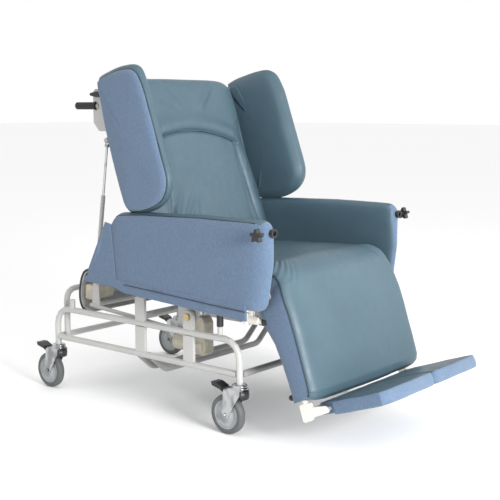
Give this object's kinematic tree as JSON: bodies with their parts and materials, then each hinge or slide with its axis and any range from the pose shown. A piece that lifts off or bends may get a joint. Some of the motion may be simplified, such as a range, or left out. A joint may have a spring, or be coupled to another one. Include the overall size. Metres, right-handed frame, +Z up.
{
  "type": "patient recliner chair",
  "caption": "Wide wheeled care recliner with tilting seat, reclining winged back, lifting leg rest and padded footplate on a tubular base with braked castors.",
  "frame": {"origin": "on the floor, centred in the chair's width and length", "axes": "+Z up; the sitter faces -Y; +X is the sitter's left"},
  "size_m": [0.974, 1.7185, 1.3434],
  "materials": {
    "frame_paint": "satin warm light grey powder coat",
    "cream_paint": "satin cream enamel",
    "chrome": "bright plated steel",
    "castor_tyre": "grey thermoplastic tread on a silver-grey wheel centre",
    "black_plastic": "moulded black",
    "grip_rubber": "soft black rubber",
    "brass": "plain turned",
    "drive_plastic": "beige moulded housing",
    "teal_vinyl": "smooth coated upholstery vinyl, blue-green",
    "blue_cloth": "woven upholstery cloth, light blue"
  },
  "bodies": {
    "base": {"side_frame_right": "frame_paint", "side_frame_left": "frame_paint", "lower_rail_right": "frame_paint", "lower_rail_left": "frame_paint", "rear_cross_tube": "frame_paint", "front_cross_tube": "frame_paint", "post_cross_tube": "frame_paint", "rear_hoop": "frame_paint", "swan_tube_front": "frame_paint", "swan_tube_rear": "frame_paint", "pivot_bolt_right": "brass", "pivot_bolt_left": "brass"},
    "seat": {"seat_frame": "frame_paint", "tilt_frame": "frame_paint", "seat_cushion": "teal_vinyl", "arm_right": "blue_cloth", "arm_left": "blue_cloth", "tray_socket_right": "black_plastic", "tray_socket_left": "black_plastic", "side_skirt_right": "blue_cloth", "side_skirt_left": "blue_cloth", "rear_cover": "frame_paint", "control_box": "drive_plastic", "accessory_clamp": "cream_paint"},
    "back": {"back_frame": "frame_paint", "back_cushion": "teal_vinyl", "wing_right": "blue_cloth", "wing_left": "blue_cloth", "push_grip_right": "grip_rubber", "push_grip_left": "grip_rubber"},
    "release_lever": {"release_lever": "black_plastic"},
    "legrest": {"legrest_frame": "frame_paint", "legrest_pad": "teal_vinyl"},
    "foot_carriage": {"foot_slide": "cream_paint"},
    "foot_plunger": {"foot_plunger": "black_plastic"},
    "footplate": {"footplate": "blue_cloth"},
    "clamp_knob": {"clamp_knob": "black_plastic"},
    "tilt_drive": {"tilt_actuator": "drive_plastic"},
    "tilt_drive_rod": {"tilt_rod": "chrome"},
    "legrest_drive": {"legrest_actuator": "drive_plastic"},
    "legrest_drive_rod": {"legrest_rod": "chrome"},
    "star_knob_right": {"star_knob_right": "black_plastic"},
    "strut_cylinder_right": {"strut_cylinder_right": "frame_paint"},
    "strut_rod_right": {"strut_rod_right": "chrome"},
    "star_knob_left": {"star_knob_left": "black_plastic"},
    "strut_cylinder_left": {"strut_cylinder_left": "frame_paint"},
    "strut_rod_left": {"strut_rod_left": "chrome"},
    "castor_front_right": {"castor_fork_front_right": "chrome"},
    "wheel_front_right": {"castor_wheel_front_right": "castor_tyre"},
    "pedal_front_right": {"brake_pedal_front_right": "black_plastic"},
    "castor_front_left": {"castor_fork_front_left": "chrome"},
    "wheel_front_left": {"castor_wheel_front_left": "castor_tyre"},
    "pedal_front_left": {"brake_pedal_front_left": "black_plastic"},
    "castor_rear_right": {"castor_fork_rear_right": "chrome"},
    "wheel_rear_right": {"castor_wheel_rear_right": "castor_tyre"},
    "pedal_rear_right": {"brake_pedal_rear_right": "black_plastic"},
    "castor_rear_left": {"castor_fork_rear_left": "chrome"},
    "wheel_rear_left": {"castor_wheel_rear_left": "castor_tyre"},
    "pedal_rear_left": {"brake_pedal_rear_left": "black_plastic"}
  },
  "joints": [
    {"name": "seat_tilt", "type": "hinge", "parent": "base", "child": "seat", "pos_m": [0, -0.025, 0.412], "axis": [-1, 0, 0], "range_deg": [0, 15]},
    {"name": "back_recline", "type": "hinge", "parent": "seat", "child": "back", "pos_m": [0, 0.2, 0.515], "axis": [-1, 0, 0], "range_deg": [0, 35]},
    {"name": "legrest_lift", "type": "hinge", "parent": "seat", "child": "legrest", "pos_m": [0, -0.352, 0.572], "axis": [-1, 0, 0], "range_deg": [0, 55]},
    {"name": "foot_extension", "type": "slide", "parent": "legrest", "child": "foot_carriage", "axis": [0, -0.3338, -0.9426], "range_m": [0, 0.08]},
    {"name": "footplate_fold", "type": "hinge", "parent": "foot_carriage", "child": "footplate", "pos_m": [0, -0.62756, 0.15931], "axis": [-1, 0, 0], "range_deg": [0, 60]},
    {"name": "plunger_pull", "type": "slide", "parent": "legrest", "child": "foot_plunger", "axis": [0, 0.9426, -0.3338], "range_m": [0, 0.006], "stiffness_N_per_m": 600, "springref_m": -0.003},
    {"name": "release_lever_press", "type": "hinge", "parent": "back", "child": "release_lever", "pos_m": [-0.361, 0.456, 1.241], "axis": [-1, 0, 0], "range_deg": [0, 8], "stiffness_Nm_per_rad": 1.5, "springref_deg": -2.86},
    {"name": "clamp_knob_turn", "type": "hinge", "parent": "seat", "child": "clamp_knob", "pos_m": [-0.352, -0.38, 0.437], "axis": [0, 1, 0], "continuous": true},
    {"name": "star_knob_turn_right", "type": "hinge", "parent": "seat", "child": "star_knob_right", "pos_m": [-0.476, -0.437, 0.761], "axis": [1, 0, 0], "continuous": true},
    {"name": "star_knob_turn_left", "type": "hinge", "parent": "seat", "child": "star_knob_left", "pos_m": [0.476, -0.437, 0.761], "axis": [1, 0, 0], "continuous": true},
    {"name": "strut_foot_right", "type": "hinge", "parent": "seat", "child": "strut_cylinder_right", "pos_m": [-0.34, 0.52, 0.478], "axis": [-1, 0, 0], "range_deg": [0, 36]},
    {"name": "strut_stroke_right", "type": "slide", "parent": "strut_cylinder_right", "child": "strut_rod_right", "axis": [0, -0.1412, 0.99], "range_m": [-0.2, 0]},
    {"name": "strut_foot_left", "type": "hinge", "parent": "seat", "child": "strut_cylinder_left", "pos_m": [0.34, 0.52, 0.478], "axis": [-1, 0, 0], "range_deg": [0, 36]},
    {"name": "strut_stroke_left", "type": "slide", "parent": "strut_cylinder_left", "child": "strut_rod_left", "axis": [0, -0.1412, 0.99], "range_m": [-0.2, 0]},
    {"name": "tilt_drive_foot", "type": "hinge", "parent": "base", "child": "tilt_drive", "pos_m": [-0.12, 0.215, 0.182], "axis": [-1, 0, 0], "range_deg": [0, 4]},
    {"name": "tilt_drive_stroke", "type": "slide", "parent": "tilt_drive", "child": "tilt_drive_rod", "axis": [0, 0, 1], "range_m": [-0.05, 0]},
    {"name": "legrest_drive_root", "type": "hinge", "parent": "seat", "child": "legrest_drive", "pos_m": [0.06, 0.02, 0.415], "axis": [-1, 0, 0], "range_deg": [0, 10]},
    {"name": "legrest_drive_stroke", "type": "slide", "parent": "legrest_drive", "child": "legrest_drive_rod", "axis": [0, -1, 0], "range_m": [0, 0.13]},
    {"name": "castor_swivel_front_right", "type": "hinge", "parent": "base", "child": "castor_front_right", "pos_m": [-0.372, -0.273, 0.19], "axis": [0, 0, 1], "continuous": true},
    {"name": "wheel_spin_front_right", "type": "hinge", "parent": "castor_front_right", "child": "wheel_front_right", "pos_m": [-0.372, -0.218, 0.07436], "axis": [1, 0, 0], "continuous": true},
    {"name": "brake_press_front_right", "type": "hinge", "parent": "castor_front_right", "child": "pedal_front_right", "pos_m": [-0.372, -0.228, 0.167], "axis": [-1, 0, 0], "range_deg": [0, 8], "stiffness_Nm_per_rad": 2, "springref_deg": -5.73},
    {"name": "castor_swivel_front_left", "type": "hinge", "parent": "base", "child": "castor_front_left", "pos_m": [0.372, -0.273, 0.19], "axis": [0, 0, 1], "continuous": true},
    {"name": "wheel_spin_front_left", "type": "hinge", "parent": "castor_front_left", "child": "wheel_front_left", "pos_m": [0.372, -0.218, 0.07436], "axis": [1, 0, 0], "continuous": true},
    {"name": "brake_press_front_left", "type": "hinge", "parent": "castor_front_left", "child": "pedal_front_left", "pos_m": [0.372, -0.228, 0.167], "axis": [-1, 0, 0], "range_deg": [0, 8], "stiffness_Nm_per_rad": 2, "springref_deg": -5.73},
    {"name": "castor_swivel_rear_right", "type": "hinge", "parent": "base", "child": "castor_rear_right", "pos_m": [-0.372, 0.73, 0.19], "axis": [0, 0, 1], "continuous": true},
    {"name": "wheel_spin_rear_right", "type": "hinge", "parent": "castor_rear_right", "child": "wheel_rear_right", "pos_m": [-0.372, 0.785, 0.07436], "axis": [1, 0, 0], "continuous": true},
    {"name": "brake_press_rear_right", "type": "hinge", "parent": "castor_rear_right", "child": "pedal_rear_right", "pos_m": [-0.372, 0.775, 0.167], "axis": [-1, 0, 0], "range_deg": [0, 8], "stiffness_Nm_per_rad": 2, "springref_deg": -5.73},
    {"name": "castor_swivel_rear_left", "type": "hinge", "parent": "base", "child": "castor_rear_left", "pos_m": [0.372, 0.73, 0.19], "axis": [0, 0, 1], "continuous": true},
    {"name": "wheel_spin_rear_left", "type": "hinge", "parent": "castor_rear_left", "child": "wheel_rear_left", "pos_m": [0.372, 0.785, 0.07436], "axis": [1, 0, 0], "continuous": true},
    {"name": "brake_press_rear_left", "type": "hinge", "parent": "castor_rear_left", "child": "pedal_rear_left", "pos_m": [0.372, 0.775, 0.167], "axis": [-1, 0, 0], "range_deg": [0, 8], "stiffness_Nm_per_rad": 2, "springref_deg": -5.73}
  ],
  "couplings": [
    {"joint": "strut_foot_right", "follows": "back_recline", "ratio": 1},
    {"joint": "strut_stroke_right", "follows": "back_recline", "m_per_rad": -0.316},
    {"joint": "strut_foot_left", "follows": "back_recline", "ratio": 1},
    {"joint": "strut_stroke_left", "follows": "back_recline", "m_per_rad": -0.316},
    {"joint": "tilt_drive_foot", "follows": "seat_tilt", "ratio": 0.1123},
    {"joint": "tilt_drive_stroke", "follows": "seat_tilt", "m_per_rad": -0.173},
    {"joint": "legrest_drive_root", "follows": "legrest_lift", "ratio": 0.144},
    {"joint": "legrest_drive_stroke", "follows": "legrest_lift", "m_per_rad": 0.1327}
  ]
}
